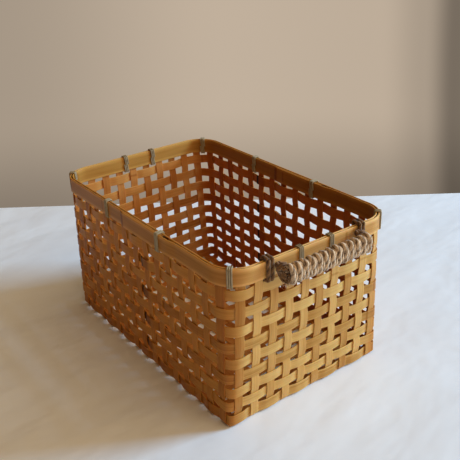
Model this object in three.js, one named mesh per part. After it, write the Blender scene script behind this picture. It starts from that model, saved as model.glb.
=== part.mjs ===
import * as THREE from 'three';

// A woven bamboo storage basket with one knotted rope handle.
// Millimetres, +Z up. X runs along the long walls, and the handle is on the +X wall.
// The origin lies under the middle of the whole object, on the surface it stands on.

// The flat bamboo strips and how close they lie
const stripWidth = 11.8; // of the strips woven round the walls
const uprightWidth = 10.3; // of the strips of the base, which stand in the walls
const stripThickness = 0.9;
const clearance = 0.3; // air left between two pieces that touch
const crossCount = 15; // strips across the base that run up both long walls
const longCount = 10; // strips along the base that run up both short walls
const ringCount = 9; // strips woven round the walls
const crossGap = 12.6; // hole between two cross strips, under the rim
const cornerMargin = 10.3; // from a wall corner to the nearest upright's middle, along the wall
const ringGap = 4.6; // hole between the two lowest rings
const ringGapGrowth = 0.67; // each hole above it is this much taller
const firstRingLift = 4.4; // lowest ring's lower edge above the floor
const ringLapCount = 3; // uprights that a ring's two ends both pass

// The rope of the handle, and its way under the rim
const ropeDiameter = 4;
const ropeTurns = 2;
const ropeTurnGap = 0.6;
const ropeSidePlay = 1.05; // between the rope and the upright next to it
const ropeRowPlay = 0.4; // between the rope and the hoop or ring above and below it

// The rim hoops and the walls' shape
const hoopHeight = 19;
const hoopThickness = 1.8;
const hoopLapCount = 4; // uprights that a hoop's two ends both pass
const outerLapLead = 1; // uprights that the outer hoop's lap starts before its wall's middle
const innerLapLead = 3; // the same for the inner hoop
const uprightTopInset = 2; // the uprights end this far below the rim's top
const rimCorner = 28; // corner radius of the uprights' surface in the rope's row
const footCorner = 5; // the same at the floor
const drawInLength = 8.2; // how far each short wall leans in from the rope's row to the floor
const drawInWidth = 1; // the same for each long wall

// The thin lashings round the rim
const tieDiameter = 1.8;
const tieTurns = 3;
const tieTurnGap = 0.45;
const tieGap = 0.4; // air between a lashing and the hoops

// The knotted bar of the handle
const barLength = 114;
const barHeight = 23;
const barThickness = 14;
const barBumpCount = 13;
const barValleyShare = 0.84; // the bar's size between two bumps
const fingerGap = 12; // from the rim's outer face to the bar
const axisDrop = 4; // the swing axis lies this far below the rim's top
const barDrop = 7.5; // the bar's middle lies this far below the swing axis
const knotWidth = 8;
const knotInset = 2.8; // from the bar's end in to the middle of the cords that hold it

// What follows from them
const layer = stripThickness + clearance; // from one strip's middle to that of the next one over it
const baseLevel = stripThickness / 2 + layer; // height of the cross strips' middle
const flatReach = uprightWidth / 2 + clearance; // a woven strip stays flat this far past an upright
const bendTop = firstRingLift - clearance; // the uprights stand straight from here up
const ringMiddle = (ring) => {
  const gaps = ring * ringGap + ringGapGrowth * ring * (ring - 1) / 2;
  return firstRingLift + stripWidth * (ring + 0.5) + gaps;
};
const ringTop = ringMiddle(ringCount - 1) + stripWidth / 2;
const hoopBottom = ringTop + ropeDiameter + 2 * ropeRowPlay;
const basketHeight = hoopBottom + hoopHeight;
const hoopMiddle = hoopBottom + hoopHeight / 2;
const ropeRow = hoopBottom - clearance - ropeDiameter / 2;
const ropeBand = ropeTurns * ropeDiameter + (ropeTurns - 1) * ropeTurnGap;
const ropeHole = ropeBand + 2 * ropeSidePlay;
const hoopStep = hoopThickness + clearance;
const hoopOffset = stripThickness / 2 + clearance + hoopThickness / 2;
const hoopFace = hoopOffset + hoopThickness / 2; // from the uprights' surface to a hoop's far face
const uprightCount = 2 * (crossCount + longCount);

// Half sizes of the uprights' surface in the rope's row, where the rope fits between two uprights
const arcShare = Math.PI / 4;
const rowHalfWidth = (uprightWidth + ropeHole) * (longCount - 1) / 2 + cornerMargin + rimCorner * (1 - arcShare);
const rowHalfLength = (uprightWidth + crossGap) * (crossCount - 1) / 2 + cornerMargin + rimCorner * (1 - arcShare);

const bamboo = new THREE.MeshStandardMaterial({ color: 0xc08a48, roughness: 0.55, flatShading: true });
const rimBamboo = new THREE.MeshStandardMaterial({ color: 0xc99a55, roughness: 0.5, flatShading: true });
const tieFibre = new THREE.MeshStandardMaterial({ color: 0x7d6946, roughness: 0.8, flatShading: true });
const jute = new THREE.MeshStandardMaterial({ color: 0xaa8c69, roughness: 0.95, flatShading: true });

const upward = new THREE.Vector3(0, 0, 1);

// Closed geometry from points and triangles, turned inside out if it came out that way
function closedGeometry(points, triangles) {
  const volume = triangles.reduce((sum, [a, b, c]) => {
    return sum + points[a].dot(new THREE.Vector3().crossVectors(points[b], points[c]));
  }, 0);
  const geometry = new THREE.BufferGeometry();
  geometry.setFromPoints(points);
  geometry.setIndex(triangles.flatMap(([a, b, c]) => (volume > 0 ? [a, b, c] : [a, c, b])));
  geometry.computeVertexNormals();
  return geometry;
}

// Skin over a row of outlines with equal point counts, with both ends capped
function skinOutlines(outlines) {
  const size = outlines[0].length;
  const triangles = [];
  for (let row = 1; row < outlines.length; row += 1) {
    for (let i = 0; i < size; i += 1) {
      const next = (i + 1) % size;
      const a = (row - 1) * size;
      const b = row * size;
      triangles.push([a + i, a + next, b + next], [a + i, b + next, b + i]);
    }
  }
  const last = (outlines.length - 1) * size;
  for (let i = 1; i < size - 1; i += 1) {
    triangles.push([0, i + 1, i], [last, last + i, last + i + 1]);
  }
  return closedGeometry(outlines.flat(), triangles);
}

// Sections of a straight, untwisted run say nothing new, so only its ends are kept
function dropStraight(sections) {
  const kept = [sections[0]];
  for (let i = 1; i < sections.length - 1; i += 1) {
    const before = kept.at(-1);
    const here = sections[i];
    const after = sections[i + 1];
    const share = before.centre.distanceTo(here.centre) / before.centre.distanceTo(after.centre);
    const straight = before.centre.clone().lerp(after.centre, share).distanceTo(here.centre);
    const twist = before.normal.angleTo(here.normal) + here.normal.angleTo(after.normal);
    if (straight > clearance / 100 || twist > clearance / 100) kept.push(here);
  }
  kept.push(sections.at(-1));
  return kept;
}

// A flat strip along sections, each with its centre, the way across the strip and its normal
function stripGeometry(sections, width, thickness) {
  const outlines = dropStraight(sections).map(({ centre, across, normal }) => {
    return [[-1, -1], [1, -1], [1, 1], [-1, 1]].map(([side, face]) => {
      const point = centre.clone().addScaledVector(across, side * width / 2);
      return point.addScaledVector(normal, face * thickness / 2);
    });
  });
  return skinOutlines(outlines);
}

// The surface that the uprights stand in: a rounded rectangle at each height
function wallShape(height) {
  const rise = height / ropeRow;
  const corner = THREE.MathUtils.lerp(footCorner, rimCorner, rise);
  const halfLength = THREE.MathUtils.lerp(rowHalfLength - drawInLength, rowHalfLength, rise);
  const halfWidth = THREE.MathUtils.lerp(rowHalfWidth - drawInWidth, rowHalfWidth, rise);
  return { corner, halfLength, halfWidth };
}

// Walls 0 to 3 are the +X, +Y, -X and -Y ones. Along each, places count uprights from its middle.
function uprightPitch(wall, height) {
  const { corner, halfLength, halfWidth } = wallShape(height);
  const isShort = wall % 2 === 0;
  const halfSide = (isShort ? halfWidth : halfLength) - corner * (1 - arcShare);
  return (halfSide - cornerMargin) / (((isShort ? longCount : crossCount) - 1) / 2);
}

function wallPoint(wall, along, height) {
  const { corner, halfLength, halfWidth } = wallShape(height);
  const isShort = wall % 2 === 0;
  const halfRun = (isShort ? halfWidth : halfLength) - corner;
  const reach = isShort ? halfLength : halfWidth;
  const past = Math.max(0, Math.abs(along) - halfRun);
  const turn = past / corner;
  const side = Math.sign(along) * (Math.abs(along) - past + corner * Math.sin(turn));
  const out = reach - corner + corner * Math.cos(turn);
  return new THREE.Vector3(out, side, height).applyAxisAngle(upward, wall * Math.PI / 2);
}

// Where an upright, or a place between two, crosses a height, and how the wall faces there
function wallFrame(wall, place, height) {
  const at = (h, shift) => wallPoint(wall, place * uprightPitch(wall, h) + shift, h);
  const reach = uprightWidth / 2;
  const centre = at(height, 0);
  const tangent = at(height, reach).sub(at(height, -reach)).normalize();
  const rise = at(height + reach, 0).sub(at(height - reach, 0)).normalize();
  const normal = new THREE.Vector3().crossVectors(tangent, rise).normalize();
  const up = new THREE.Vector3().crossVectors(normal, tangent).normalize();
  return { wall, centre, tangent, normal, up };
}

// All uprights in their order round the basket, from the corner of +X and -Y
const uprights = [];
for (let wall = 0; wall < 4; wall += 1) {
  const count = wall % 2 === 0 ? longCount : crossCount;
  for (let i = 0; i < count; i += 1) uprights.push({ wall, place: i - (count - 1) / 2 });
}

// A strip turns from one flat to the next round a corner of the basket
function cornerCurve(from, to) {
  const gap = to.centre.clone().sub(from.centre);
  const a = from.tangent;
  const b = to.tangent;
  const reach = (gap.x * b.y - gap.y * b.x) / (a.x * b.y - a.y * b.x);
  const control = from.centre.clone().addScaledVector(a, reach);
  return new THREE.QuadraticBezierCurve3(from.centre, control, to.centre);
}

function cornerSections(from, to) {
  const curve = cornerCurve(from, to);
  return [0.25, 0.5, 0.75].map((share) => ({
    centre: curve.getPoint(share),
    across: from.across.clone().lerp(to.across, share).normalize(),
    normal: from.normal.clone().lerp(to.normal, share).normalize(),
  }));
}

// A strip that runs round the basket past a row of uprights, each at its own distance outward
function roundSections(height, crossings) {
  const sections = [];
  for (const { index, offset } of crossings) {
    const upright = uprights[index % uprightCount];
    const { wall, centre, tangent, normal, up } = wallFrame(upright.wall, upright.place, height);
    const [start, end] = [-flatReach, flatReach].map((reach) => ({
      wall,
      tangent,
      normal,
      across: up,
      centre: centre.clone().addScaledVector(tangent, reach).addScaledVector(normal, offset),
    }));
    const last = sections.at(-1);
    if (last && last.wall !== wall) sections.push(...cornerSections(last, start));
    sections.push(start, end);
  }
  return sections;
}

const basket = new THREE.Group();

function addPiece(parent, name, geometry, material) {
  const mesh = new THREE.Mesh(geometry, material);
  mesh.name = name;
  parent.add(mesh);
}

// An upright stands straight from its bend at the floor to its end between the hoops
function uprightSections(wall, place) {
  const heights = [bendTop];
  for (let ring = 0; ring < ringCount; ring += 1) heights.push(ringMiddle(ring));
  heights.push(hoopBottom, basketHeight - uprightTopInset);
  return heights.map((height) => {
    const { centre, tangent, normal } = wallFrame(wall, place, height);
    return { centre, across: tangent, normal };
  });
}

// A quarter ellipse from the base, where the last crossing ends, to the foot of the wall
function bendSections(edge, foot) {
  return [0, 1 / 3, 2 / 3].map((share) => {
    const turn = share * Math.PI / 2;
    const run = foot.centre.clone().sub(edge);
    const rise = run.z;
    run.z = 0;
    const centre = edge.clone().addScaledVector(run, Math.sin(turn));
    centre.z += rise * (1 - Math.cos(turn));
    const outward = run.clone().normalize();
    const normal = outward.multiplyScalar(rise * Math.sin(turn));
    normal.z = -run.length() * Math.cos(turn);
    return { centre, across: foot.across, normal: normal.normalize() };
  });
}

// Base places of the strips: those of their uprights at the floor
const crossPlaces = uprights.filter(({ wall }) => wall === 3).map(({ place }) => place);
const longPlaces = uprights.filter(({ wall }) => wall === 0).map(({ place }) => place);
const crossX = (place) => place * uprightPitch(3, 0);
const longY = (place) => place * uprightPitch(0, 0);

// One strip up one wall, over the base and up the wall across from it
function addBaseStrip(name, walls, place, baseSections) {
  const [first, last] = walls.map((wall, i) => uprightSections(wall, i === 0 ? -place : place));
  const base = baseSections.map((centre) => ({ centre, normal: new THREE.Vector3(0, 0, -1) }));
  const firstBend = bendSections(base[0].centre, first[0]);
  const lastBend = bendSections(base.at(-1).centre, last[0]);
  first.reverse();
  firstBend.reverse();
  for (const section of [...first, ...firstBend]) section.across = section.across.clone().negate();
  for (const section of base) section.across = last[0].across;
  const sections = [...first, ...firstBend, ...base.slice(1, -1), ...lastBend, ...last];
  addPiece(basket, name, stripGeometry(sections, uprightWidth, stripThickness), bamboo);
}

// Cross strips lie straight on the base, from the far long wall to the near one
crossPlaces.forEach((place, i) => {
  const edge = longY(longPlaces.at(-1)) + flatReach;
  const centres = [edge, -edge].map((y) => new THREE.Vector3(crossX(place), y, baseLevel));
  addBaseStrip(`cross_strip_${String(i + 1).padStart(2, '0')}`, [1, 3], place, centres);
});

// Long strips weave under and over the cross strips, from the -X wall to the +X one
longPlaces.forEach((place, i) => {
  const centres = crossPlaces.flatMap((crossPlace, j) => {
    const level = baseLevel + ((i + j) % 2 === 0 ? -layer : layer);
    return [-flatReach, flatReach].map((reach) => {
      return new THREE.Vector3(crossX(crossPlace) + reach, longY(place), level);
    });
  });
  addBaseStrip(`long_strip_${String(i + 1).padStart(2, '0')}`, [2, 0], place, centres);
});

// Rings weave round the walls. Their ends lap in the middle of a long wall, by turns on each side.
for (let ring = 0; ring < ringCount; ring += 1) {
  const lapWall = ring % 2 === 0 ? 1 : 3;
  const lapMiddle = uprights.findIndex(({ wall, place }) => wall === lapWall && place === 0);
  const crossings = [];
  for (let i = 0; i < uprightCount + ringLapCount; i += 1) {
    const index = lapMiddle + i;
    const isOutside = (crossCount + index + ring + 1) % 2 === 0;
    const isStart = i < ringLapCount;
    const isEnd = i >= uprightCount;
    const lapShift = isStart || isEnd ? layer / 2 : 0;
    const offset = (isOutside ? 1 : -1) * (layer + lapShift) + (isStart ? lapShift : -lapShift);
    crossings.push({ index, offset });
  }
  const sections = roundSections(ringMiddle(ring), crossings);
  addPiece(basket, `ring_strip_${ring + 1}`, stripGeometry(sections, stripWidth, stripThickness), bamboo);
}

// A hoop runs round the rim outside or inside the uprights and laps past the middle of a long wall
function addHoop(name, side, lapWall, lapLead, startLayer, endLayer) {
  const lapStart = uprights.findIndex(({ wall, place }) => wall === lapWall && place === 0) - lapLead;
  const crossings = [];
  for (let i = 0; i < uprightCount + hoopLapCount; i += 1) {
    let extra = 0;
    if (i < hoopLapCount) extra = startLayer;
    if (i >= uprightCount) extra = endLayer;
    crossings.push({ index: lapStart + i, offset: side * (hoopOffset + extra * hoopStep) });
  }
  const sections = roundSections(hoopMiddle, crossings);
  addPiece(basket, name, stripGeometry(sections, hoopHeight, hoopThickness), rimBamboo);
}

addHoop('rim_hoop_outer', 1, 3, outerLapLead, 1, 0);
addHoop('rim_hoop_inner', -1, 1, innerLapLead, 0, 1);

// Corner points of turns round the rim's section, seen along the wall: the way out, the way up
// and the way along. Each turn starts at the same corner, and the next one moves along there.
function windingPoints(frame, rim, cord, firstCorner) {
  const { centre, normal, up, tangent } = frame;
  const radius = (cord.diameter / 2 + cord.gap) / Math.cos(Math.PI / 8);
  const points = [];
  for (let turn = 0; turn < cord.turns; turn += 1) {
    const along = (turn - (cord.turns - 1) / 2) * (cord.diameter + cord.turnGap);
    for (let i = 0; i < 8; i += 1) {
      const angle = ((firstCorner + i) % 8 + 0.5) * Math.PI / 4;
      const out = (Math.cos(angle) > 0 ? rim.outer : -rim.inner) + radius * Math.cos(angle);
      const rise = Math.sign(Math.sin(angle)) * hoopHeight / 2 + radius * Math.sin(angle);
      const point = centre.clone().addScaledVector(normal, out).addScaledVector(up, rise);
      points.push(point.addScaledVector(tangent, along));
    }
  }
  return points;
}

// A round cord through points, with its outlines square to the way it bends
function cordGeometry(points, diameter, sides) {
  let reference = new THREE.Vector3();
  const outlines = points.map((point, i) => {
    const before = points[Math.max(0, i - 1)];
    const after = points[Math.min(points.length - 1, i + 1)];
    const entry = point.clone().sub(before).normalize();
    const exit = after.clone().sub(point).normalize();
    const way = entry.add(exit).normalize();
    if (reference.lengthSq() === 0) {
      reference.crossVectors(way, Math.abs(way.z) > 0.5 ? new THREE.Vector3(1, 1, 0) : new THREE.Vector3(0, 0, 1));
    }
    reference = reference.clone().addScaledVector(way, -reference.dot(way)).normalize();
    const other = new THREE.Vector3().crossVectors(way, reference);
    const outline = [];
    for (let side = 0; side < sides; side += 1) {
      const angle = side / sides * 2 * Math.PI;
      const corner = point.clone().addScaledVector(reference, Math.cos(angle) * diameter / 2);
      outline.push(corner.addScaledVector(other, Math.sin(angle) * diameter / 2));
    }
    return outline;
  });
  return skinOutlines(outlines);
}

// The least gap between two turns of a cord, measured on points along it
function leastGap(points, diameter) {
  const samples = [];
  let length = 0;
  for (let i = 1; i < points.length; i += 1) {
    const span = points[i - 1].distanceTo(points[i]);
    const steps = Math.ceil(span / (diameter / 4));
    for (let step = 0; step < steps; step += 1) {
      const point = points[i - 1].clone().lerp(points[i], step / steps);
      samples.push({ point, length: length + span * step / steps });
    }
    length += span;
  }
  let least = Infinity;
  for (const a of samples) {
    for (const b of samples) {
      if (b.length - a.length > hoopHeight) least = Math.min(least, a.point.distanceTo(b.point) - diameter);
    }
  }
  return least;
}

const tieCord = { diameter: tieDiameter, gap: tieGap, turnGap: tieTurnGap, turns: tieTurns };
const ropeCord = { diameter: ropeDiameter, gap: clearance, turnGap: ropeTurnGap, turns: ropeTurns };

// The corner's middle, halfway between the last upright of a wall and the first of the next
function cornerFrame(wall, height) {
  const next = (wall + 1) % 4;
  const last = uprights.filter((upright) => upright.wall === wall).at(-1);
  const first = uprights.find((upright) => upright.wall === next);
  const from = wallFrame(wall, last.place, height);
  const to = wallFrame(next, first.place, height);
  from.centre.addScaledVector(from.tangent, flatReach);
  to.centre.addScaledVector(to.tangent, -flatReach);
  const normal = from.normal.clone().add(to.normal).normalize();
  const up = from.up.clone().add(to.up).normalize();
  const tangent = new THREE.Vector3().crossVectors(up, normal).normalize();
  return { centre: cornerCurve(from, to).getPoint(0.5), normal, up, tangent };
}

// Lashings: one at each corner, and two on each wall between uprights. Where a hoop's two ends
// lap, the lashing goes round both layers.
const tiePlaces = [];
for (let wall = 0; wall < 4; wall += 1) {
  const isShort = wall % 2 === 0;
  const place = isShort ? 1 : 2.5;
  for (const side of [-1, 1]) {
    const frame = wallFrame(wall, side * place, hoopMiddle);
    const outer = hoopFace + (wall === 3 && side === 1 ? hoopStep : 0);
    const inner = hoopFace + (wall === 1 && side === -1 ? hoopStep : 0);
    tiePlaces.push({ frame, outer, inner });
  }
  tiePlaces.push({ frame: cornerFrame(wall, hoopMiddle), outer: hoopFace, inner: hoopFace });
}
let tieLeast = Infinity;
tiePlaces.forEach(({ frame, outer, inner }, i) => {
  const points = windingPoints(frame, { outer, inner }, tieCord, 4);
  tieLeast = Math.min(tieLeast, leastGap(points, tieDiameter));
  addPiece(basket, `rim_tie_${String(i + 1).padStart(2, '0')}`, cordGeometry(points, tieDiameter, 5), tieFibre);
});
console.log(`least gap in a rim tie: ${tieLeast.toFixed(2)} mm`);

// The handle's rope goes round the rim at two places, between two uprights
const loopPlace = 3;
const loopMiddle = loopPlace * uprightPitch(0, hoopMiddle);
let loopLeast = Infinity;
for (const [name, side] of [['left', -1], ['right', 1]]) {
  const frame = wallFrame(0, side * loopPlace, hoopMiddle);
  frame.tangent.multiplyScalar(-side);
  const points = windingPoints(frame, { outer: hoopFace, inner: hoopFace }, ropeCord, 0);
  loopLeast = Math.min(loopLeast, leastGap(points, ropeDiameter));
  addPiece(basket, `handle_loop_${name}`, cordGeometry(points, ropeDiameter, 8), jute);
}
console.log(`least gap in a handle loop: ${loopLeast.toFixed(2)} mm`);

// The handle swings about the line where its cords leave the loops
const rimFace = wallPoint(0, 0, hoopMiddle).x + hoopFace;
const handle = new THREE.Group();
handle.position.set(rimFace + clearance + ropeDiameter / 2, 0, basketHeight - axisDrop);
basket.add(handle);
const barOut = fingerGap + barThickness / 2 - clearance - ropeDiameter / 2;

// The knotted bar: a flat oval that swells at each knot
const barOutlines = [];
for (let i = 0; i <= 2 * barBumpCount; i += 1) {
  const share = i % 2 === 0 ? barValleyShare : 1;
  const y = (i / (2 * barBumpCount) - 0.5) * barLength;
  const outline = [];
  for (let side = 0; side < 10; side += 1) {
    const angle = side / 10 * 2 * Math.PI;
    const x = barOut + share * Math.cos(angle) * barThickness / 2;
    outline.push(new THREE.Vector3(x, y, share * Math.sin(angle) * barHeight / 2 - barDrop));
  }
  barOutlines.push(outline);
}
addPiece(handle, 'handle_bar', skinOutlines(barOutlines), jute);

// The bunched cords at each end of the bar, from beside the loops out to the bar. Each row has
// its way out, top and bottom as shares of the way to the bar and of the bar's height.
const knotShares = [
  [-0.15, 0.05, -0.05],
  [0.24, 0.03, -0.27],
  [0.6, 0.09, -0.53],
  [1, 0.12, -0.7],
];
const knotReach = barOut - barThickness / 2 - clearance;
const knotStart = loopMiddle - ropeBand / 2 - clearance - knotWidth / 2;
const knotEnd = barLength / 2 - knotInset;
for (const [name, side] of [['left', -1], ['right', 1]]) {
  const outlines = knotShares.map(([outShare, topShare, bottomShare]) => {
    const x = outShare * knotReach;
    const across = knotStart + Math.max(outShare, 0) * (knotEnd - knotStart);
    const middle = (topShare + bottomShare) / 2 * barHeight;
    const rise = (topShare - bottomShare) / 2 * barHeight;
    const outline = [];
    for (let i = 0; i < 8; i += 1) {
      const angle = (i + 0.5) / 8 * 2 * Math.PI;
      const stretch = 1 / Math.cos(Math.PI / 8);
      const y = side * (across + stretch * Math.cos(angle) * knotWidth / 2);
      outline.push(new THREE.Vector3(x, y, middle + stretch * Math.sin(angle) * rise));
    }
    return outline;
  });
  addPiece(handle, `handle_knot_${name}`, skinOutlines(outlines), jute);
}

// The handle and the laps reach past the walls, so the middle of it all is found from its box
const group = new THREE.Group();
group.add(basket);
const middle = new THREE.Box3().setFromObject(group).getCenter(new THREE.Vector3());
basket.position.set(-middle.x, -middle.y, 0);

export default group;
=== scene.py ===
import math
import random

import bmesh
import bpy
from mathutils import Matrix, Vector


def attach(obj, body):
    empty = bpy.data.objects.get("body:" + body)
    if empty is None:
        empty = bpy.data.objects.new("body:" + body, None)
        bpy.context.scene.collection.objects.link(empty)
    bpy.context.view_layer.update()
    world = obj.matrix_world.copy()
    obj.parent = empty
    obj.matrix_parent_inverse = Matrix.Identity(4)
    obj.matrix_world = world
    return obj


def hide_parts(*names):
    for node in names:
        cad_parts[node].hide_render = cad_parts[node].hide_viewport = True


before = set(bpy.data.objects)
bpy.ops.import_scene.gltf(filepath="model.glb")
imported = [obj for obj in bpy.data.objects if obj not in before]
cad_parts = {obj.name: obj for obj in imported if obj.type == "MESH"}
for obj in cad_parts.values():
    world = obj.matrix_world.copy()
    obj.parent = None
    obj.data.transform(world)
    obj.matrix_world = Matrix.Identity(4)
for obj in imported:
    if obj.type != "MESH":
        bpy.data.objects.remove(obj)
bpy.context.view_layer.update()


# Camera
# It looks down on the corner between the long wall in shade and the handle's wall, tilted a
# little, with a lens of medium length.
azimuth, elevation, roll = math.radians(53.94), math.radians(25.51), math.radians(-2.02)
basket_middle = Vector((-0.011687, 0.001028, 0))
camera_distance = 0.95233
right_by, up_by = 0.01834, 0.12385  # how far the camera is moved in the picture's plane

away = Vector((
    math.sin(azimuth) * math.cos(elevation),
    -math.cos(azimuth) * math.cos(elevation),
    math.sin(elevation),
))
level_right = Vector((0, 0, 1)).cross(away).normalized()
level_up = away.cross(level_right)
camera_right = level_right * math.cos(roll) + level_up * math.sin(roll)
camera_up = level_up * math.cos(roll) - level_right * math.sin(roll)
camera_place = basket_middle + away * camera_distance + level_right * right_by + level_up * up_by
camera_axes = Matrix((camera_right, camera_up, away)).transposed().to_4x4()

camera_data = bpy.data.cameras.new("camera")
camera_data.sensor_width = 36
camera_data.lens = 56.975
camera_data.clip_start = 0.01
camera = bpy.data.objects.new("camera", camera_data)
camera.matrix_world = Matrix.Translation(camera_place) @ camera_axes
bpy.context.scene.collection.objects.link(camera)
bpy.context.scene.camera = camera
bpy.context.scene.view_settings.view_transform = "Standard"


# Table and backdrop
# A table under a plain white cloth, whose far edge shows behind the basket, before a beige
# wall with painted light and shade. It is only the world's colour, so that every view stays open.
table_white = (0.90, 0.93, 0.95)
wall_beige = (0.40, 0.325, 0.25)
wall_stops = (  # places across the wall and how bright it is painted there, with a painted dark band at the right
    (0.18, 0.95), (0.46, 1.33), (0.64, 1.28), (0.69, 1.0), (0.722, 0.464), (0.80, 0.7218), (1.0, 0.928),
)
wall_foot_level = 0.62  # the wall's painted shade darkens it to this behind the table
room_dim = (0.045, 0.014, 0.003)  # the room's light from low down, away from the window
room_bright = (1.26, 0.93, 0.55)  # and from high up, towards the window
room_way = Vector((0.56, 0.36, 0.62)).normalized()
table_edge_middle = basket_middle + Vector((-0.3215, 0.2585, 0))
table_edge_way = Vector((0.5943, 0.8042, 0))
table_size = 4.0


def new_material(name):
    material = bpy.data.materials.new(name)
    material.use_nodes = True
    nodes = material.node_tree.nodes
    return material, nodes, material.node_tree.links, nodes["Principled BSDF"]


# A value taken from one range to another, and held at its ends
def map_range(nodes, links, value, span, to=(0, 1), interpolation="LINEAR"):
    node = nodes.new("ShaderNodeMapRange")
    node.interpolation_type = interpolation
    for socket, number in zip(("From Min", "From Max", "To Min", "To Max"), (*span, *to)):
        node.inputs[socket].default_value = number
    links.new(value, node.inputs["Value"])
    return node.outputs["Result"]


def add_object(name, bm, material, smooth=True):
    mesh = bpy.data.meshes.new(name)
    for face in bm.faces:
        face.smooth = smooth
    bm.to_mesh(mesh)
    bm.free()
    mesh.materials.append(material)
    piece = bpy.data.objects.new(name, mesh)
    bpy.context.scene.collection.objects.link(piece)
    return piece


cloth, nodes, links, shader = new_material("table_cloth")
shader.inputs["Base Color"].default_value = (*table_white, 1)
shader.inputs["Roughness"].default_value = 0.9
shader.inputs["Specular IOR Level"].default_value = 0.2
cloth_place = nodes.new("ShaderNodeTexCoord")
cloth_stretch = nodes.new("ShaderNodeMapping")
cloth_stretch.inputs["Rotation"].default_value = (0, 0, 0.5)
cloth_stretch.inputs["Scale"].default_value = (13, 6, 1)
links.new(cloth_place.outputs["Object"], cloth_stretch.inputs["Vector"])
folds = nodes.new("ShaderNodeTexNoise")
folds.inputs["Scale"].default_value = 1
folds.inputs["Detail"].default_value = 3
folds.inputs["Distortion"].default_value = 0.2
links.new(cloth_stretch.outputs["Vector"], folds.inputs["Vector"])
fold_bump = nodes.new("ShaderNodeBump")
fold_bump.inputs["Strength"].default_value = 0.7
fold_bump.inputs["Distance"].default_value = 0.008
links.new(folds.outputs["Fac"], fold_bump.inputs["Height"])
links.new(fold_bump.outputs["Normal"], shader.inputs["Normal"])

bm = bmesh.new()
bmesh.ops.create_grid(bm, x_segments=1, y_segments=1, size=table_size / 2)
table_turn = Matrix.Rotation(math.atan2(table_edge_way.y, table_edge_way.x), 3, "Z")
bmesh.ops.rotate(bm, verts=bm.verts, matrix=table_turn)
nearer = Vector((table_edge_way.y, -table_edge_way.x, 0))
bmesh.ops.translate(bm, verts=bm.verts, vec=table_edge_middle + nearer * table_size / 2)
table = add_object("table", bm, cloth, smooth=False)

world = bpy.data.worlds.new("room")
world.use_nodes = True
bpy.context.scene.world = world
nodes, links = world.node_tree.nodes, world.node_tree.links
soft_light = nodes["Background"]
direction = nodes.new("ShaderNodeTexCoord")
towards_bright = nodes.new("ShaderNodeVectorMath")
towards_bright.operation = "DOT_PRODUCT"
towards_bright.inputs[1].default_value = room_way
links.new(direction.outputs["Generated"], towards_bright.inputs[0])
room_level = map_range(nodes, links, towards_bright.outputs["Value"], (0.35, 1))
room_light = nodes.new("ShaderNodeMix")
room_light.data_type = "RGBA"
room_light.inputs["A"].default_value = (*room_dim, 1)
room_light.inputs["B"].default_value = (*room_bright, 1)
links.new(room_level, room_light.inputs["Factor"])
links.new(room_light.outputs["Result"], soft_light.inputs["Color"])
wall = nodes.new("ShaderNodeBackground")
wall.inputs["Color"].default_value = (*wall_beige, 1)
across_wall = nodes.new("ShaderNodeVectorMath")
across_wall.operation = "DOT_PRODUCT"
across_wall.inputs[1].default_value = level_right
links.new(direction.outputs["Generated"], across_wall.inputs[0])
wall_place = map_range(nodes, links, across_wall.outputs["Value"], (-0.5, 0.6))
wall_level = nodes.new("ShaderNodeValToRGB")
wall_brightest = max(level for place, level in wall_stops)
wall_level.color_ramp.interpolation = "EASE"
for number, (place, level) in enumerate(wall_stops):
    stops = wall_level.color_ramp.elements
    stop = stops[number] if number < 2 else stops.new(place)
    stop.position = place
    stop.color = (*[level / wall_brightest] * 3, 1)
links.new(wall_place, wall_level.inputs["Fac"])
wall_strength = nodes.new("ShaderNodeMath")
wall_strength.operation = "MULTIPLY"
wall_strength.inputs[1].default_value = wall_brightest
links.new(wall_level.outputs["Color"], wall_strength.inputs[0])
up_wall = nodes.new("ShaderNodeSeparateXYZ")
links.new(direction.outputs["Generated"], up_wall.inputs[0])
wall_foot = map_range(
    nodes, links, up_wall.outputs["Z"], (-0.40, -0.27), (wall_foot_level, 1), "SMOOTHSTEP")
wall_shade = nodes.new("ShaderNodeMath")
wall_shade.operation = "MULTIPLY"
links.new(wall_strength.outputs[0], wall_shade.inputs[0])
links.new(wall_foot, wall_shade.inputs[1])
links.new(wall_shade.outputs[0], wall.inputs["Strength"])
ray = nodes.new("ShaderNodeLightPath")
seen = nodes.new("ShaderNodeMath")
seen.operation = "MAXIMUM"
links.new(ray.outputs["Is Camera Ray"], seen.inputs[0])
links.new(ray.outputs["Is Transmission Ray"], seen.inputs[1])
choose = nodes.new("ShaderNodeMixShader")
links.new(seen.outputs[0], choose.inputs["Fac"])
links.new(soft_light.outputs[0], choose.inputs[1])
links.new(wall.outputs[0], choose.inputs[2])
links.new(choose.outputs[0], nodes["World Output"].inputs["Surface"])


# Window light
# One large soft lamp to the right and behind, no higher than a window, which leaves the near
# long wall in shade and shines through the weave.
window_way = Vector((0.365, 0.84, 0.42)).normalized()
window_distance = 4.0

window_data = bpy.data.lights.new("window", "AREA")
window_data.shape = "RECTANGLE"
window_data.size = 1.25
window_data.size_y = 1.1
window_data.energy = 199
window_data.color = (0.38, 0.67, 1.0)
window = bpy.data.objects.new("window", window_data)
window_turn = window_way.to_track_quat("Z", "Y").to_matrix().to_4x4()
window.matrix_world = Matrix.Translation(window_way * window_distance) @ window_turn
bpy.context.scene.collection.objects.link(window)


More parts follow.
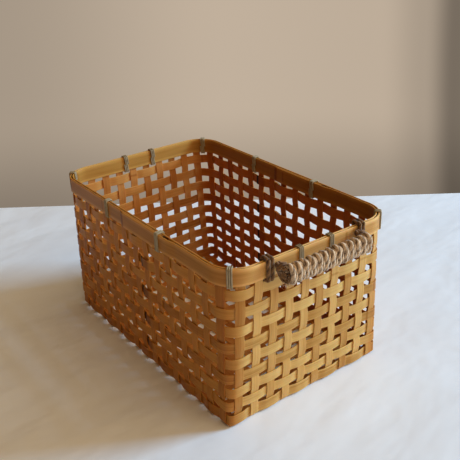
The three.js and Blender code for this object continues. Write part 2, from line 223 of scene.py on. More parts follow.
# Strips across the base
# Fifteen flat strips split from bamboo, laid side by side across the base. Each bends up both
# long walls, waves in and out past the rings, and ends between the two rim hoops.
strip_width = 0.0103
strip_thickness = 0.00105
strip_rounding = 0.0002
row_step = 0.0022  # between a strip's rows of points
cross_count = 15
long_count = 10
upright_count = 50
wall_stations = ((0, 9), (10, 24), (25, 34), (35, 49))  # the first and last upright of each wall
corner_margin = 0.0103  # from a wall corner's middle to the nearest upright's middle
upright_swing = 0.00062  # an upright's middle goes this far in and out
swing_start = 0.0025  # above this height an upright begins to swing
swing_hold = 0.002  # an upright holds its place this far past the lowest and the highest ring's middle
upright_top = 0.1893
base_middle = 0.00116  # height of the base's middle surface
base_swing = 0.00062
base_hold = 0.003  # a strip on the base holds its place this far past its last crossing
base_fade = 0.0055  # and comes level over this length
bend_radius = 0.004
bend_steps = 8
foot_corner, foot_half_length, foot_half_width = 0.003, 0.16841, 0.10981
corner_growth, lean_lengthwise, lean_crosswise = 0.025, 0.0082, 0.001
lean_height = 0.16866  # the walls lean out by these up to this height
ring_count = 9
ring_width = 0.0118
first_ring_bottom = 0.0044
first_gap = 0.0046  # between the lowest two rings
gap_growth = 0.00067  # each gap is wider than the one below it by this
rim_bottom = 0.17096
upright_dark = (0.43, 0.180, 0.028)
upright_light = (0.81, 0.500, 0.165)
# painted shade: the faces towards the basket's inside, which lie in shade, are tinted darker and redder
strip_inner_painted_shade = (0.84, 0.60, 0.46)
strip_long_side_painted_shade = (0.77, 0.53, 0.30)  # painted shade: the long walls, which lie in shade, are tinted darker and browner than the short ones


def ring_middle(ring):
    gaps = first_gap * ring + gap_growth * ring * (ring - 1) / 2
    return first_ring_bottom + ring_width * (ring + 0.5) + gaps


# The surface that the uprights stand in is a rounded rectangle at each height. Walls 0 to 3
# are the +X, +Y, -X and -Y ones, and along is measured from a wall's middle.
def wall_shape(height):
    rise = height / lean_height
    corner = foot_corner + corner_growth * rise
    half_length = foot_half_length + lean_lengthwise * rise
    half_width = foot_half_width + lean_crosswise * rise
    return corner, half_length, half_width


def upright_pitch(wall, height):
    corner, half_length, half_width = wall_shape(height)
    half_side = (half_length if wall % 2 else half_width) - corner * (1 - math.pi / 4)
    return (half_side - corner_margin) / (((cross_count if wall % 2 else long_count) - 1) / 2)


def wall_point(wall, along, height):
    corner, half_length, half_width = wall_shape(height)
    half_run = (half_length if wall % 2 else half_width) - corner
    reach = half_width if wall % 2 else half_length
    past = max(0.0, abs(along) - half_run)
    turn = math.copysign(past / corner, along)
    side = math.copysign(abs(along) - past, along) + corner * math.sin(turn)
    out = reach - corner + corner * math.cos(turn)
    quarter = wall * math.pi / 2
    place = Matrix.Rotation(quarter, 3, "Z") @ Vector((out, side, height)) + basket_middle
    outward = Vector((math.cos(turn + quarter), math.sin(turn + quarter), 0))
    return place, outward


# A swing from 1 to -1, held longer at its ends, as a stiff strip bends in a weave
def swing(share):
    held = 0.15
    return (math.cos(math.pi * share) - held * math.cos(3 * math.pi * share)) / (1 - held)


def ease(share):
    share = min(1.0, max(0.0, share))
    return share * share * (3 - 2 * share)


def passes_outside(ring, index):
    return 1 if (cross_count + index + ring + 1) % 2 == 0 else -1


# How far out an upright stands at a height: behind the rings that pass outside it
def upright_out(index, height):
    first, last = ring_middle(0), ring_middle(ring_count - 1)
    if height <= first:
        rise = (height - swing_start) / (first - swing_hold - swing_start)
        return -passes_outside(0, index) * upright_swing * ease(rise)
    if height >= last:
        rise = (height - last - swing_hold) / (rim_bottom - last - swing_hold)
        return -passes_outside(ring_count - 1, index) * upright_swing * (1 - ease(rise))
    ring = max(r for r in range(ring_count - 1) if ring_middle(r) <= height)
    share = (height - ring_middle(ring)) / (ring_middle(ring + 1) - ring_middle(ring))
    return -passes_outside(ring, index) * upright_swing * swing(share)


# A flat strip laid along rows of (place, way out of its face). The grid stands for the flat
# strip, whose grain runs along it, and is then laid into its rows and given its thickness.
across_shares = [-1, -0.86, -0.45, 0, 0.45, 0.86, 1]
centre_line = len(across_shares) // 2


def lay_strip(name, rows, thickness, rounding, tone, material):
    bm = bmesh.new()
    grain = bm.verts.layers.float_vector.new("grain")
    skin_way = bm.verts.layers.float_vector.new("skin_way")
    to_end = bm.verts.layers.float.new("to_end")
    last_row, last_across = len(rows) - 1, len(across_shares) - 1
    lengths = [0.0]
    for before, after in zip(rows, rows[1:]):
        lengths.append(lengths[-1] + (after[centre_line][0] - before[centre_line][0]).length)
    width = (rows[0][0][0] - rows[0][-1][0]).length
    bmesh.ops.create_grid(bm, x_segments=last_row, y_segments=last_across, size=1)
    for vert in bm.verts:
        row = round((vert.co.x + 1) / 2 * last_row)
        across = round((vert.co.y + 1) / 2 * last_across)
        place, out = rows[row][across]
        vert.co = place + out * thickness / 2
        vert[grain] = (lengths[row], across_shares[across] * width / 2, tone)
        vert[skin_way] = out
        vert[to_end] = min(lengths[row], lengths[-1] - lengths[row])
    bm.normal_update()
    middle, middle_out = rows[last_row // 2][centre_line]
    nearest = min(bm.faces, key=lambda face: (face.calc_center_median() - middle).length)
    if nearest.normal.dot(middle_out) < 0:
        bmesh.ops.reverse_faces(bm, faces=bm.faces)
    bmesh.ops.solidify(bm, geom=bm.faces[:], thickness=thickness)
    bmesh.ops.recalc_face_normals(bm, faces=bm.faces)
    sharp = [edge for edge in bm.edges if len(edge.link_faces) == 2 and edge.calc_face_angle() > 1]
    bmesh.ops.bevel(
        bm, geom=sharp, offset=rounding, segments=2, profile=0.5, affect="EDGES", material=-1,
        clamp_overlap=True)
    return add_object(name, bm, material)


def step_between(start, end, step):
    count = max(1, round(abs(end - start) / step))
    return [start + (end - start) * i / count for i in range(count + 1)]


# Rows up a wall, from just above the bend to the top
def wall_rows(wall, place, index):
    rows = []
    for height in step_between(base_middle + bend_radius, upright_top, row_step):
        along = place * upright_pitch(wall, height)
        out_by = upright_out(index, height)
        row = []
        for share in across_shares:
            point, out = wall_point(wall, along + share * strip_width / 2, height)
            row.append((point + out * out_by, out))
        rows.append(row)
    return rows


# Rows round the bend at the foot of a wall, from the wall down to the base
def bend_rows(first_row):
    rows = []
    for step in range(1, bend_steps):
        turn = (1 - step / bend_steps) * math.pi / 2
        row = []
        for point, out in first_row:
            place = point + out * bend_radius * (math.sin(turn) - 1)
            place.z = base_middle + bend_radius * (1 - math.cos(turn))
            row.append((place, out * math.sin(turn) - Vector((0, 0, math.cos(turn)))))
        rows.append(row)
    return rows


# One strip up a wall, over the base and up the wall across from it. level(run) is how far the
# strip lies below the base's middle surface at that place of its run.
def base_strip(name, walls, place, index_pair, level, tone, material):
    first = wall_rows(walls[0], -place, index_pair[0])
    last = wall_rows(walls[1], place, index_pair[1])
    first = [row[::-1] for row in first]
    foot_a, foot_b = bend_rows(first[0]), bend_rows(last[0])
    (foot_a_at, foot_a_out), (foot_b_at, foot_b_out) = first[0][centre_line], last[0][centre_line]
    start = foot_a_at - foot_a_out * bend_radius
    end = foot_b_at - foot_b_out * bend_radius
    side = (last[0][-1][0] - last[0][0][0]).normalized()
    run_way = (end - start).normalized()
    rows = first[::-1] + foot_a
    down = Vector((0, 0, -1))
    for distance in step_between(0, (end - start).length, row_step):
        centre = start + run_way * distance
        centre.z = base_middle - level((centre - basket_middle).dot(run_way))
        rows.append([(centre + side * share * strip_width / 2, down) for share in across_shares])
    rows += foot_b[::-1] + last
    return lay_strip(name, rows, strip_thickness, strip_rounding, tone, material)


# The waves of a strip on the base, between crossings at even places
def base_level(run, pitch, count, first_sign):
    at = run / pitch + (count - 1) / 2
    if at <= 0:
        return first_sign * base_swing * (1 - ease((-at * pitch - base_hold) / base_fade))
    if at >= count - 1:
        at_end = first_sign * (-1) ** (count - 1)
        return at_end * base_swing * (1 - ease(((at - count + 1) * pitch - base_hold) / base_fade))
    crossing = int(at)
    return first_sign * (-1) ** crossing * base_swing * swing(at - crossing)


joint_core, joint_reach = 0.0006, 0.0022  # a growth ring's dark middle, and how far it fades out
# Painted shadow at a strip's cut end: brown over four times its length, nearly black at the end itself
brown_end_shade = (0.62, 0.50, 0.42)
black_end_shade = (0.02, 0.012, 0.008)
long_side_span = (0.085, 0.108)  # the long walls' painted shade comes in between these


# Split bamboo: lengthwise fibres, pale and dark streaks, a satin skin, and a growth ring now
# and then. Each strip reads its grain from its own length, width and tone.
def bamboo(name, dark, light, inner_painted_shade, long_side_painted_shade, roughness, joint_pitch, end_shade_length):
    material, nodes, links, shader = new_material(name)
    grain = nodes.new("ShaderNodeAttribute")
    grain.attribute_name = "grain"
    split = nodes.new("ShaderNodeSeparateXYZ")
    links.new(grain.outputs["Vector"], split.inputs[0])

    def math_node(operation, a, b=None):
        node = nodes.new("ShaderNodeMath")
        node.operation = operation
        for socket, value in zip(node.inputs, (a, b)):
            if value is None:
                continue
            if isinstance(value, (int, float)):
                socket.default_value = value
            else:
                links.new(value, socket)
        return node.outputs[0]

    def noise(scale, detail):
        stretch = nodes.new("ShaderNodeVectorMath")
        stretch.operation = "MULTIPLY"
        links.new(grain.outputs["Vector"], stretch.inputs[0])
        stretch.inputs[1].default_value = scale
        texture = nodes.new("ShaderNodeTexNoise")
        texture.inputs["Scale"].default_value = 1
        texture.inputs["Detail"].default_value = detail
        texture.inputs["Roughness"].default_value = 0.6
        links.new(stretch.outputs[0], texture.inputs["Vector"])
        return texture.outputs["Fac"]

    fibres = noise((22, 2600, 91), 3)
    streaks = noise((7, 420, 57), 2)
    patches = noise((14, 60, 33), 2)
    from_middle = math_node("ABSOLUTE", split.outputs["Y"])
    edge = math_node("POWER", math_node("DIVIDE", from_middle, strip_width / 2), 6)
    own_tone = math_node("SUBTRACT", split.outputs["Z"], 0.5)
    mix = math_node("MULTIPLY", fibres, 0.34)
    # The strip's edges are mixed a little lighter, a painted highlight along its rounded edges
    for part, weight in ((streaks, 0.42), (patches, 0.34), (own_tone, 0.32), (edge, 0.05)):
        mix = math_node("ADD", mix, math_node("MULTIPLY", part, weight))
    shifted = math_node("ADD", split.outputs["X"], math_node("MULTIPLY", split.outputs["Z"], 3.7))
    joint_at = math_node("DIVIDE", shifted, joint_pitch)
    joint_off = math_node("ABSOLUTE", math_node("SUBTRACT", math_node("FRACT", joint_at), 0.5))
    joint_span = (joint_core / joint_pitch, joint_reach / joint_pitch)
    joint = map_range(nodes, links, joint_off, joint_span, (1, 0))
    mix = math_node("SUBTRACT", mix, math_node("MULTIPLY", joint, 0.22))

    ramp = nodes.new("ShaderNodeValToRGB")
    middle = [(a + b) / 2 * 1.03 for a, b in zip(dark, light)]
    ramp.color_ramp.elements[0].position = 0.28
    ramp.color_ramp.elements[0].color = (*dark, 1)
    ramp.color_ramp.elements[1].position = 0.84
    ramp.color_ramp.elements[1].color = (*light, 1)
    centre = ramp.color_ramp.elements.new(0.55)
    centre.color = (*middle, 1)
    links.new(mix, ramp.inputs["Fac"])

    # The side away from the skin is tinted darker and redder, a painted shade for the basket's shaded
    # inside, and a cut end is painted dark, a painted shadow where it stands off or sits between the hoops
    def colour_mix(factor, first, second):
        node = nodes.new("ShaderNodeMix")
        node.data_type = "RGBA"
        node.blend_type = "MULTIPLY"
        links.new(factor, node.inputs["Factor"])
        links.new(first, node.inputs["A"])
        node.inputs["B"].default_value = (*second, 1)
        return node.outputs["Result"]

    def attribute(attribute_name, output):
        node = nodes.new("ShaderNodeAttribute")
        node.attribute_name = attribute_name
        return node.outputs[output]

    surface = nodes.new("ShaderNodeNewGeometry")
    facing = nodes.new("ShaderNodeVectorMath")
    facing.operation = "DOT_PRODUCT"
    links.new(surface.outputs["Normal"], facing.inputs[0])
    links.new(attribute("skin_way", "Vector"), facing.inputs[1])
    is_inner = math_node("LESS_THAN", facing.outputs["Value"], -0.3)
    colour = colour_mix(is_inner, ramp.outputs["Color"], inner_painted_shade)
    for reach, tint in ((end_shade_length * 4, brown_end_shade), (end_shade_length, black_end_shade)):
        end_shade_mask = map_range(nodes, links, attribute("to_end", "Fac"), (reach * 0.8, reach * 1.1), (1, 0))
        colour = colour_mix(end_shade_mask, colour, tint)
    # The long walls are tinted darker and browner, a painted shade for their faces in shade
    place = nodes.new("ShaderNodeTexCoord")
    across = nodes.new("ShaderNodeSeparateXYZ")
    links.new(place.outputs["Object"], across.inputs[0])
    sideways = math_node("ABSOLUTE", across.outputs["Y"])
    long_side = map_range(nodes, links, sideways, long_side_span, interpolation="SMOOTHSTEP")
    colour = colour_mix(long_side, colour, long_side_painted_shade)
    links.new(colour, shader.inputs["Base Color"])
    gloss = map_range(nodes, links, streaks, (0, 1), (roughness - 0.08, roughness + 0.12))
    links.new(gloss, shader.inputs["Roughness"])
    joint_ridge = math_node("MULTIPLY", joint, 1.2)
    height = math_node("ADD", math_node("MULTIPLY", fibres, 0.6), joint_ridge)
    bump = nodes.new("ShaderNodeBump")
    bump.inputs["Strength"].default_value = 0.5
    bump.inputs["Distance"].default_value = 0.00018
    links.new(height, bump.inputs["Height"])
    links.new(bump.outputs[0], shader.inputs["Normal"])
    shader.inputs["Specular IOR Level"].default_value = 0.15
    shader.inputs["Subsurface Weight"].default_value = 0.18
    shader.inputs["Subsurface Radius"].default_value = (1.0, 0.32, 0.07)
    shader.inputs["Subsurface Scale"].default_value = 0.0022
    return material


# An upright's top end gets a short painted shadow where it sits between the hoops
upright_bamboo = bamboo(
    "upright_bamboo", upright_dark, upright_light, strip_inner_painted_shade, strip_long_side_painted_shade,
    roughness=0.42, joint_pitch=0.31, end_shade_length=0.0005)
tones = random.Random(41)
long_pitch, cross_pitch = upright_pitch(0, 0), upright_pitch(3, 0)
wall_middles = [(first + last) / 2 for first, last in wall_stations]
for j in range(cross_count):
    place = j - (cross_count - 1) / 2
    indices = (round(wall_middles[1] - place), round(wall_middles[3] + place))
    # A cross strip lies above the long strips that dip under it, from the +Y side on
    sign = -1 if (long_count - 1 + j) % 2 == 0 else 1
    strip = base_strip(
        f"bamboo_cross_{j + 1:02d}", (1, 3), place, indices,
        lambda run: base_level(run, long_pitch, long_count, sign), tones.random(), upright_bamboo)
    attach(strip, "basket")
    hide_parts(f"cross_strip_{j + 1:02d}")


# Strips along the base
# Ten strips like them, woven under and over the cross strips and up both short walls.
for i in range(long_count):
    place = i - (long_count - 1) / 2
    indices = (round(wall_middles[2] - place), round(wall_middles[0] + place))
    sign = 1 if i % 2 == 0 else -1
    strip = base_strip(
        f"bamboo_long_{i + 1:02d}", (2, 0), place, indices,
        lambda run: base_level(run, cross_pitch, cross_count, sign), tones.random(), upright_bamboo)
    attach(strip, "basket")
    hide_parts(f"long_strip_{i + 1:02d}")


# Rings
# Nine strips woven round the walls, closer together near the base. Each one's ends lap past
# three uprights in the middle of a long wall, by turns on the far and the near one.
ring_dark = (0.43, 0.190, 0.028)
ring_light = (0.81, 0.525, 0.175)
ring_swing = 0.00074
foot_ring_swing = 0.00108
top_ring_swing = 0.00092
foot_ring_width = 0.0126  # it is wider, and reaches down over the bend where it passes outside
foot_ring_lower = 0.0014
far_lap, near_lap = 17, 42  # the first upright of a lap
ring_lap = 3  # uprights that both ends of a ring pass
lap_step = 0.00115  # how far the two ends lie apart
lap_lead = 1.2  # in uprights, how early the ends begin to part
ring_starts = (0.30, 0.26, 0.28, 0.27, 0.32, 0.36, 0.30, 0.55, 0.28)  # past the lap's first upright
ring_end = 0.30  # past its last one
station_step = 0.1


# A place round the basket in steps of one upright, from the corner of +X and -Y
def round_place(station, height):
    station = station % upright_count
    if station >= upright_count - 0.5:
        station -= upright_count
    wall = next(wall for wall, (first, last) in enumerate(wall_stations) if station < last + 0.5)
    first, last = wall_stations[wall]
    held = min(max(station, first), last)
    along = (held - (first + last) / 2) * upright_pitch(wall, height) + (station - held) * 2 * corner_margin
    return wall_point(wall, along, height)


def ring_wave(ring, station):
    index = math.floor(station)
    return passes_outside(ring, index) * swing(station - index)


# A ring's ends get a long painted shadow, for the dark slot where an end stands off at its lap
ring_bamboo = bamboo(
    "ring_bamboo", ring_dark, ring_light, strip_inner_painted_shade, strip_long_side_painted_shade,
    roughness=0.40, joint_pitch=0.33, end_shade_length=0.0042)
for ring in range(ring_count):
    lap_start = far_lap if ring % 2 == 0 else near_lap
    first_station = lap_start + ring_starts[ring]
    last_station = lap_start + upright_count + ring_lap - 1 + ring_end
    swing_size = {0: foot_ring_swing, ring_count - 1: top_ring_swing}.get(ring, ring_swing)
    lower, width = (foot_ring_lower, foot_ring_width) if ring == 0 else (0, ring_width)
    rows = []
    for station in step_between(first_station, last_station, station_step):
        wave = ring_wave(ring, station)
        out_by = wave * swing_size
        since_start, since_return = station - lap_start, station - lap_start - upright_count
        if since_start < ring_lap:
            out_by += lap_step * (1 + wave) / 2 * (1 - ease(since_start - ring_lap + lap_lead))
        if since_return > -1:
            out_by -= lap_step * (1 - wave) / 2 * ease(since_return + lap_lead)
        row = []
        for share in across_shares:
            height = ring_middle(ring) - lower + share * width / 2
            point, out = round_place(station, height)
            row.append((point + out * out_by, out))
        rows.append(row)
    strip = lay_strip(
        f"bamboo_ring_{ring + 1}", rows, strip_thickness, strip_rounding, tones.random(), ring_bamboo)
    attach(strip, "basket")
    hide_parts(f"ring_strip_{ring + 1}")


# Rim hoops
# Two thicker bamboo hoops that hold the uprights' ends between them. Each laps on itself past
# three or four uprights, the outer one on the near long wall and the inner one on the far one.
rim_dark = (0.53, 0.250, 0.055)
rim_light = (0.86, 0.50, 0.170)
# painted shade: the hoops' faces towards the inside are tinted darker
rim_inner_painted_shade = (0.70, 0.64, 0.44)
# painted shade: the rim is tinted darker on the long walls, which lie in shade
rim_long_side_painted_shade = (0.74, 0.60, 0.42)
rim_height = 0.019
hoop_thickness = 0.0019
hoop_rounding = 0.0007
hoop_out = 0.00152  # from the uprights' middle surface to a hoop's
hoop_lap_step = 0.0021
lap_change = 0.8  # in uprights, the length in which a hoop steps off its own other end


# The outer hoop's first end lies over its last one, and the inner hoop's last end over its first
def outer_lap(station):
    return 1 - ease((station - 45.2) / lap_change)


def inner_lap(station):
    return ease((station - 62.9) / lap_change)


# A hoop's ends get a painted shadow, for the dark line at its lap
rim_bamboo = bamboo(
    "rim_bamboo", rim_dark, rim_light, rim_inner_painted_shade, rim_long_side_painted_shade,
    roughness=0.38, joint_pitch=0.36, end_shade_length=0.0012)
hoops = (  # side of the uprights, first and last station, lap
    ("outer", 1, 41.09, 94.95, outer_lap),
    ("inner", -1, 13.72, 67.57, inner_lap),
)
for name, side, first_station, last_station, lap in hoops:
    rows = []
    for station in step_between(first_station, last_station, station_step):
        extra = lap(station)
        row = []
        for share in across_shares:
            height = rim_bottom + rim_height / 2 + share * rim_height / 2
            point, out = round_place(station, height)
            row.append((point + out * side * (hoop_out + extra * hoop_lap_step), out))
        rows.append(row)
    hoop = lay_strip(
        f"bamboo_hoop_{name}", rows, hoop_thickness, hoop_rounding, tones.random(), rim_bamboo)
    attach(hoop, "basket")
    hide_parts(f"rim_hoop_{name}")


# Rim ties
# Twelve lashings of thin split cane, each wound three times round both hoops: one at each corner
# and two on each wall. They lie close on the hoops, one turn beside the other.
tie_dark = (0.17, 0.125, 0.062)
tie_light = (0.44, 0.355, 0.215)
tie_radius = 0.00092
tie_pitch = 0.0021
tie_turns = 3
corner_steps = 3  # in which a turn goes round a corner of the rim's section
tie_stations = (3.5, 5.5, 9.5, 14.5, 19.5, 24.5, 28.5, 30.5, 34.5, 39.5, 44.5, 49.5)
outer_lap_tie, inner_lap_tie = 44.5, 14.5  # the two that also go round a hoop's lap
cord_step = 0.0007  # between the rings of points along a cord
upward = Vector((0, 0, 1))


# Turns round the rim's section, up over the top and down outside, with rounded corners. The cord
# steps on to its next turn on the inner side.
def winding(station, outer, inner, radius, pitch, turns, side=1):
    place, outward = round_place(station, rim_bottom + rim_height / 2)
    along = upward.cross(outward) * side
    corners = ((-inner, 1), (outer, 1), (outer, -1), (-inner, -1))
    points = [(-inner - radius, 0, -0.5)]
    for turn in range(turns):
        for number, (reach, rise) in enumerate(corners):
            for step in range(corner_steps + 1):
                angle = math.pi - (number + step / corner_steps) * math.pi / 2
                out_by = reach + radius * math.cos(angle)
                points.append((out_by, rise * rim_height / 2 + radius * math.sin(angle), turn))
    points.append((-inner - radius, 0, turns - 0.5))
    middle_turn = (turns - 1) / 2
    return [place + outward * a + upward * b + along * (c - middle_turn) * pitch for a, b, c in points]


# A smooth line through points, in even steps
def smooth_path(points, step=cord_step):
    path = [points[0]]
    padded = [points[0] * 2 - points[1], *points, points[-1] * 2 - points[-2]]
    for a, b, c, d in zip(padded, padded[1:], padded[2:], padded[3:]):
        count = max(1, round((c - b).length / step))
        for i in range(1, count + 1):
            t = i / count
            bend = (2 * a - 5 * b + 4 * c - d) * t * t + (3 * b - a - 3 * c + d) * t ** 3
            path.append((2 * b + (c - a) * t + bend) / 2)
    return path


# A cord along a path. The grid stands for its skin, rolled round the path with a ridge for each
# ply, and the plies turn as they run along it.
def lay_cord(name, path, radius, plies, ply_pitch, ridge, tone, material):
    bm = bmesh.new()
    lay = bm.verts.layers.float_vector.new("lay")
    ply = bm.verts.layers.float.new("ply")
    last_row, sides = len(path) - 1, max(10, plies * 6)
    bmesh.ops.create_grid(bm, x_segments=last_row, y_segments=sides, size=1)
    ways = [(after - before).normalized() for before, after in zip([path[0], *path], [*path[1:], path[-1]])]
    first = ways[0].orthogonal().normalized()
    frames, length = [], 0.0
    for row, (place, way) in enumerate(zip(path, ways)):
        if row:
            first = (first - way * first.dot(way)).normalized()
            length += (place - path[row - 1]).length
        frames.append((place, first, way.cross(first), length))
    for vert in bm.verts:
        row = round((vert.co.x + 1) / 2 * last_row)
        around = round((vert.co.y + 1) / 2 * sides) / sides * 2 * math.pi
        place, across, other, length = frames[row]
        height = abs(math.cos(plies * around / 2)) if plies > 1 else 1
        turned = around + length / ply_pitch * 2 * math.pi
        reach = radius * (1 - ridge + ridge * height)
        vert.co = place + (across * math.cos(turned) + other * math.sin(turned)) * reach
        vert[lay] = (math.cos(around) * radius, math.sin(around) * radius, length + tone)
        vert[ply] = height
    bmesh.ops.remove_doubles(bm, verts=bm.verts, dist=1e-7)
    bmesh.ops.holes_fill(bm, edges=[edge for edge in bm.edges if edge.is_boundary], sides=0)
    bmesh.ops.recalc_face_normals(bm, faces=bm.faces)
    return add_object(name, bm, material)


# Fibre that is twisted or split: painted darker between its plies and lighter on their crowns, a painted
# shade and highlight, and streaked along them
def cord_fibre(name, dark, light, roughness, streak_scale, sheen):
    material, nodes, links, shader = new_material(name)
    place = nodes.new("ShaderNodeAttribute")
    place.attribute_name = "lay"
    height = nodes.new("ShaderNodeAttribute")
    height.attribute_name = "ply"
    stretch = nodes.new("ShaderNodeVectorMath")
    stretch.operation = "MULTIPLY"
    stretch.inputs[1].default_value = streak_scale
    links.new(place.outputs["Vector"], stretch.inputs[0])
    streaks = nodes.new("ShaderNodeTexNoise")
    streaks.inputs["Scale"].default_value = 1
    streaks.inputs["Detail"].default_value = 4
    streaks.inputs["Roughness"].default_value = 0.65
    links.new(stretch.outputs[0], streaks.inputs["Vector"])
    ply_shade_and_streaks = nodes.new("ShaderNodeMath")
    ply_shade_and_streaks.operation = "MULTIPLY_ADD"
    ply_shade_and_streaks.inputs[1].default_value = 0.26
    links.new(height.outputs["Fac"], ply_shade_and_streaks.inputs[0])
    links.new(streaks.outputs["Fac"], ply_shade_and_streaks.inputs[2])
    ramp = nodes.new("ShaderNodeValToRGB")
    ramp.color_ramp.elements[0].position = 0.47
    ramp.color_ramp.elements[0].color = (*dark, 1)
    ramp.color_ramp.elements[1].position = 0.83
    ramp.color_ramp.elements[1].color = (*light, 1)
    links.new(ply_shade_and_streaks.outputs[0], ramp.inputs["Fac"])
    links.new(ramp.outputs["Color"], shader.inputs["Base Color"])
    shader.inputs["Roughness"].default_value = roughness
    shader.inputs["Specular IOR Level"].default_value = 0.25
    shader.inputs["Sheen Weight"].default_value = sheen
    bump = nodes.new("ShaderNodeBump")
    bump.inputs["Strength"].default_value = 0.7
    bump.inputs["Distance"].default_value = 0.0003
    links.new(streaks.outputs["Fac"], bump.inputs["Height"])
    links.new(bump.outputs[0], shader.inputs["Normal"])
    return material


tie_cane = cord_fibre(
    "tie_cane", tie_dark, tie_light, roughness=0.55, streak_scale=(1500, 1500, 160), sheen=0.0)
hoop_face = hoop_out + hoop_thickness / 2
for number, station in enumerate(tie_stations):
    outer = hoop_face + (hoop_lap_step if station == outer_lap_tie else 0)
    inner = hoop_face + (hoop_lap_step if station == inner_lap_tie else 0)
    points = winding(station, outer, inner, tie_radius * 1.05, tie_pitch, tie_turns)
    tie = lay_cord(
        f"cane_tie_{number + 1:02d}", smooth_path(points), tie_radius, plies=1, ply_pitch=1.0,
        ridge=0.0, tone=number, material=tie_cane)
    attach(tie, "basket")
    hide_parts(f"rim_tie_{number + 1:02d}")


# Handle loops
# The handle's jute rope, of two plies, goes twice round the rim at each end of the handle. It is
# darker there than on the bar.
jute_dark = (0.09, 0.043, 0.016)
jute_light = (0.94, 0.67, 0.41)
darker_jute_dark = (0.04, 0.016, 0.006)  # a darker jute, for the loops, the knots and the bar's core cords
darker_jute_light = (0.33, 0.170, 0.065)
jute_streak_scale = (1300, 1300, 420)
rope_radius = 0.0023
rope_pitch = 0.0049
rope_turns = 2
rope_plies = 2
rope_ply_pitch = 0.019
rope_ridge = 0.2


def add_rope(name, path, radius, tone, material, body, node):
    rope = lay_cord(name, path, radius, rope_plies, rope_ply_pitch, rope_ridge, tone, material)
    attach(rope, body)
    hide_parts(node)


jute = cord_fibre(
    "jute", jute_dark, jute_light, roughness=0.95, streak_scale=jute_streak_scale, sheen=0.35)
darker_jute = cord_fibre(
    "darker_jute", darker_jute_dark, darker_jute_light, roughness=0.95, streak_scale=jute_streak_scale,
    sheen=0.25)
for name, station, side in (("left", 1.5, 1), ("right", 7.5, -1)):
    points = winding(station, hoop_face, hoop_face, rope_radius * 1.02, rope_pitch, rope_turns, side)
    add_rope(
        f"rope_loop_{name}", smooth_path(points), rope_radius, station, darker_jute, "basket",
        f"handle_loop_{name}")


# Handle bar
# A flat bar of thirteen knots tied round three core cords. At each knot one working cord comes
# over the top in a round bight and down the outer face, and the other lies deeper beside it.
bar_middle = Vector((0.18705, 0.00103, 0.17846))
bar_length = 0.114
knot_count = 13
knot_pitch = bar_length / knot_count
bight_radius = 0.0028
deep_radius = 0.0021
core_radius = 0.0022
core_gap = 0.0045
hand_wander = 0.0002  # how far a hand lays the cord off its place
hand = random.Random(7)

# Points are (millimetres out, share of a knot along, millimetres up)
bight_run = (
    (-4.6, 0.30, -4.0), (-4.8, 0.36, 0), (-4.4, 0.42, 5.0), (-2.6, 0.46, 8.4), (0.8, 0.48, 9.4),
    (4.0, 0.49, 8.0), (5.2, 0.50, 4.8), (4.6, 0.54, 0), (4.4, 0.60, -5.0), (2.4, 0.68, -8.2),
    (-1.0, 0.86, -8.6), (-3.8, 1.10, -7.2),
)
deep_run = (
    (-4.5, 0.82, -4.0), (-4.6, 0.86, 0), (-4.2, 0.92, 4.8), (-2.4, 0.96, 7.2), (0.4, 0.98, 7.9),
    (3.2, 0.99, 6.2), (4.2, 1.00, 3.0), (4.5, 1.04, 0), (4.4, 1.10, -4.6), (2.2, 1.18, -8.0),
    (-1.0, 1.36, -8.4), (-3.6, 1.60, -7.0),
)


def bar_path(run, knots):
    points = []
    for knot in range(knots):
        for out, share, rise in run:
            place = Vector((out, 0, rise)) * 0.001
            place.y = (knot + share - knot_count / 2) * knot_pitch
            wander = Vector((hand.gauss(0, 1), hand.gauss(0, 1), hand.gauss(0, 1))) * hand_wander
            points.append(bar_middle + place + wander)
    return smooth_path(points)


bight_path = bar_path(bight_run, knot_count)
add_rope("bar_bight_cord", bight_path, bight_radius, 0.3, jute, "handle", "handle_bar")
deep_path = bar_path(deep_run, knot_count - 1)
add_rope("bar_deep_cord", deep_path, deep_radius, 0.7, jute, "handle", "handle_bar")
for number, rise in enumerate((-core_gap, 0, core_gap)):
    ends = [bar_middle + Vector((0, way * (bar_length / 2 - core_radius), rise)) for way in (-1, 1)]
    path = smooth_path(ends, 0.002)
    name = f"bar_core_cord_{number + 1}"
    add_rope(name, path, core_radius, 0.1 * number, darker_jute, "handle", "handle_bar")


# Handle knots
# At each end of the bar its cords are drawn together and run in to the rim beside the loop,
# with two turns of rope tied round them.
swing_axis = Vector((0.170345, 0, 0.18596))
bunch_offset = 0.0545  # along the wall, from the bar's middle to a bunch
bunch_shares = (  # each cord's place in the bunch, across and up
    (-1, 1.0), (1, 0.9), (-0.9, -0.1), (0.9, -0.5), (0, -1.0), (0.8, -1.5), (-0.8, -1.7),
    (-1.5, -0.7), (-1.5, -1.5),
)
wrap_reach = 0.0050
wrap_run = 0.0062
wrap_radius = 0.0021
wrap_steps, steps_in_turn = 18, 8

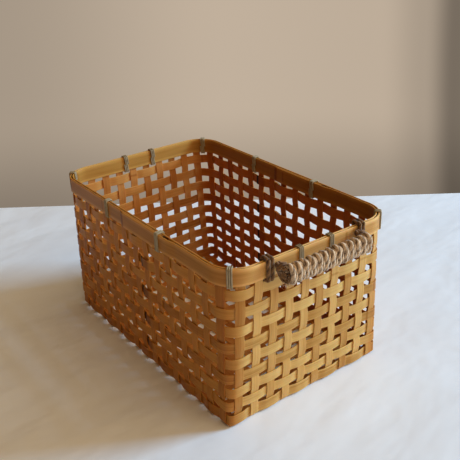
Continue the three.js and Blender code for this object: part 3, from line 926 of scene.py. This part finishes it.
for name, way in (("left", -1), ("right", 1)):
    node = f"handle_knot_{name}"
    beside_loop = swing_axis + Vector((0, bar_middle.y + way * bunch_offset, 0))
    bar_end = Vector((bar_middle.x, beside_loop.y, bar_middle.z))
    for number, (across, up) in enumerate(bunch_shares):
        start = beside_loop + Vector((0.0008, -way * 0.0012 * max(across, -1), 0.0007 * up - 0.0010))
        drawn = beside_loop + Vector((0.0058, -way * 0.0021 * across, 0.0016 * up - 0.0026))
        spread = beside_loop + Vector((0.0110, -way * 0.0020 * across, 0.0046 * up - 0.0056))
        end = bar_end + Vector((0.0012 * across, 0, 0.0062 * max(up, -1.3)))
        path = smooth_path([start, drawn, spread, end])
        cord_name = f"knot_cord_{name}_{number + 1}"
        add_rope(cord_name, path, core_radius, number / 3, darker_jute, "handle", node)
    centre = beside_loop + Vector((0.0092, 0, -0.0038))
    run_way = Vector((0.86, way * 0.15, -0.42)).normalized()
    first = run_way.orthogonal().normalized()
    other = run_way.cross(first)
    turns = []
    for step in range(wrap_steps + 1):
        angle = step / steps_in_turn * 2 * math.pi
        reach = first * math.cos(angle) + other * math.sin(angle)
        turns.append(centre + reach * wrap_reach + run_way * (step / wrap_steps - 0.5) * wrap_run)
    add_rope(f"knot_wrap_{name}", smooth_path(turns), wrap_radius, 0.5, darker_jute, "handle", node)


# Frayed fibres
# Fine ends of jute stand out of the rope, most of them below the bar and at its two knots.
fray_count = 620
fray_radius = 0.00013
fray_lengths = (0.0015, 0.0048)
fray_depth = 0.0008  # how deep a fibre starts under the rope's skin
bar_half_depth, bar_half_height = 0.0055, 0.0088
bar_end_reach = 0.055
knot_reach = 0.054

frayed = bmesh.new()
lay = frayed.verts.layers.float_vector.new("lay")
ply = frayed.verts.layers.float.new("ply")
for number in range(fray_count):
    along = hand.choice((
        hand.uniform(-bar_end_reach, bar_end_reach),
        hand.gauss(0, 0.004) - knot_reach,
        hand.gauss(0, 0.003) + knot_reach,
    ))
    turn = hand.choice((hand.uniform(0, 2 * math.pi), hand.gauss(-math.pi / 2, 0.6)))
    out_way = Vector((math.cos(turn), 0, math.sin(turn)))
    skin = Vector((bar_half_depth * math.cos(turn), along, bar_half_height * math.sin(turn)))
    root = bar_middle + skin - out_way * fray_depth
    astray = Vector((hand.gauss(0, 0.4), hand.gauss(0, 0.8), hand.gauss(-0.2, 0.4)))
    way = (out_way * 0.8 + astray).normalized()
    bend = Vector((hand.gauss(0, 1), hand.gauss(0, 1), hand.gauss(-0.5, 1))) * 0.25
    length = hand.uniform(*fray_lengths)
    points = [root + (way + bend * t * t) * length * t for t in (0, 0.33, 0.66, 1)]
    rings = []
    for step, point in enumerate(points):
        across = way.orthogonal().normalized()
        other = way.cross(across)
        thick = fray_radius * (1 - 0.22 * step)
        ring_verts = []
        for corner in range(3):
            angle = corner * 2 * math.pi / 3
            vert = frayed.verts.new(point + (across * math.cos(angle) + other * math.sin(angle)) * thick)
            vert[lay] = (0.001 * corner, 0.0007 * number, length * step)
            vert[ply] = 0.75
            ring_verts.append(vert)
        rings.append(ring_verts)
    for before, after in zip(rings, rings[1:]):
        for corner in range(3):
            frayed.faces.new((before[corner], before[corner - 1], after[corner - 1], after[corner]))
    frayed.faces.new(rings[0])
    frayed.faces.new(rings[-1][::-1])
bmesh.ops.recalc_face_normals(frayed, faces=frayed.faces)
fibres = add_object("handle_fibres", frayed, jute)
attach(fibres, "handle")
